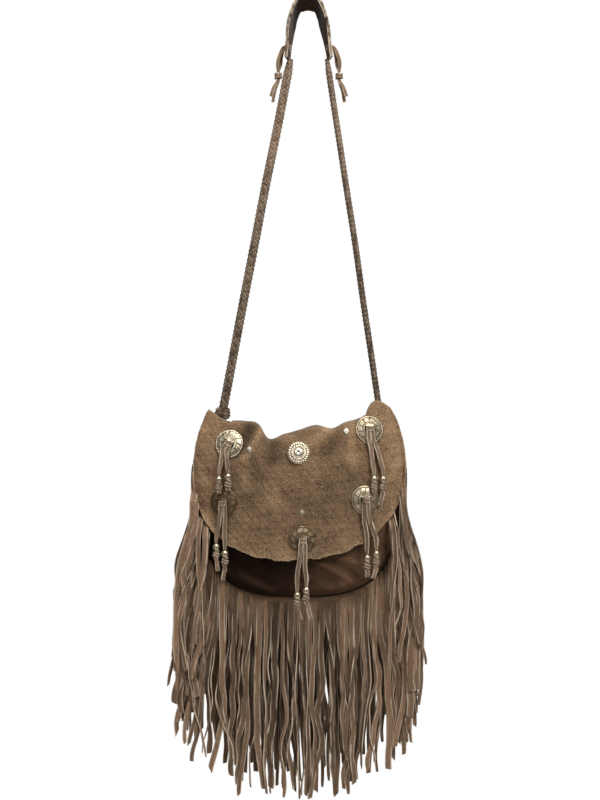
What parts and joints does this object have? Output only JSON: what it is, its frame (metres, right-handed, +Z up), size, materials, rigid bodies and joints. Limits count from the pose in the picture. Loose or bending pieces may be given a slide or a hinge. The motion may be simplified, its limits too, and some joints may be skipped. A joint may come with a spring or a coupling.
{
  "type": "fringed suede shoulder bag",
  "caption": "Brown suede shoulder bag with a flap, long fringe, metal conchos with knotted laces, and a braided strap with a shoulder pad.",
  "frame": {"origin": "where a hook carries the bag: the under side of the shoulder pad's arch, in the middle of its width", "axes": "+Z up along the hanging bag, -Y towards the front with the flap, +X to the right of someone looking at the front"},
  "size_m": [0.3018, 0.0655, 0.8855],
  "materials": {
    "suede": "napped suede",
    "dark_suede": "worn dark suede",
    "fringe_suede": "cut suede strands",
    "braid": "suede lace",
    "nickel": "antiqued plating"
  },
  "bodies": {
    "bag": {"back_panel": "suede", "front_panel": "dark_suede", "fringe_front": "fringe_suede", "fringe_under": "fringe_suede", "pad_outer": "suede", "pad_lining": "dark_suede", "strap_braid_left": "braid", "strap_braid_right": "braid", "tie_lace_left": "braid", "tie_lace_right": "braid", "tie_ring_left": "braid", "tie_ring_right": "braid"},
    "flap": {"flap": "suede", "rosette": "nickel", "rosette_back": "nickel", "stud_left": "nickel", "stud_right": "nickel", "stud_low": "nickel", "concho_upper_left": "nickel", "lace_upper_left": "braid", "bead_upper_left_a": "nickel", "bead_upper_left_b": "nickel", "concho_lower_left": "nickel", "lace_lower_left": "braid", "bead_lower_left_a": "nickel", "bead_lower_left_b": "nickel", "concho_bottom": "nickel", "lace_bottom": "braid", "bead_bottom_a": "nickel", "bead_bottom_b": "nickel", "concho_upper_right": "nickel", "lace_upper_right": "braid", "bead_upper_right_a": "nickel", "bead_upper_right_b": "nickel", "concho_lower_right": "nickel", "lace_lower_right": "braid", "bead_lower_right_a": "nickel", "bead_lower_right_b": "nickel"}
  },
  "joints": [
    {"name": "flap_hinge", "type": "hinge", "parent": "bag", "child": "flap", "pos_m": [0, -0.007, -0.4455], "axis": [-1, 0, 0], "range_deg": [0, 140]}
  ]
}
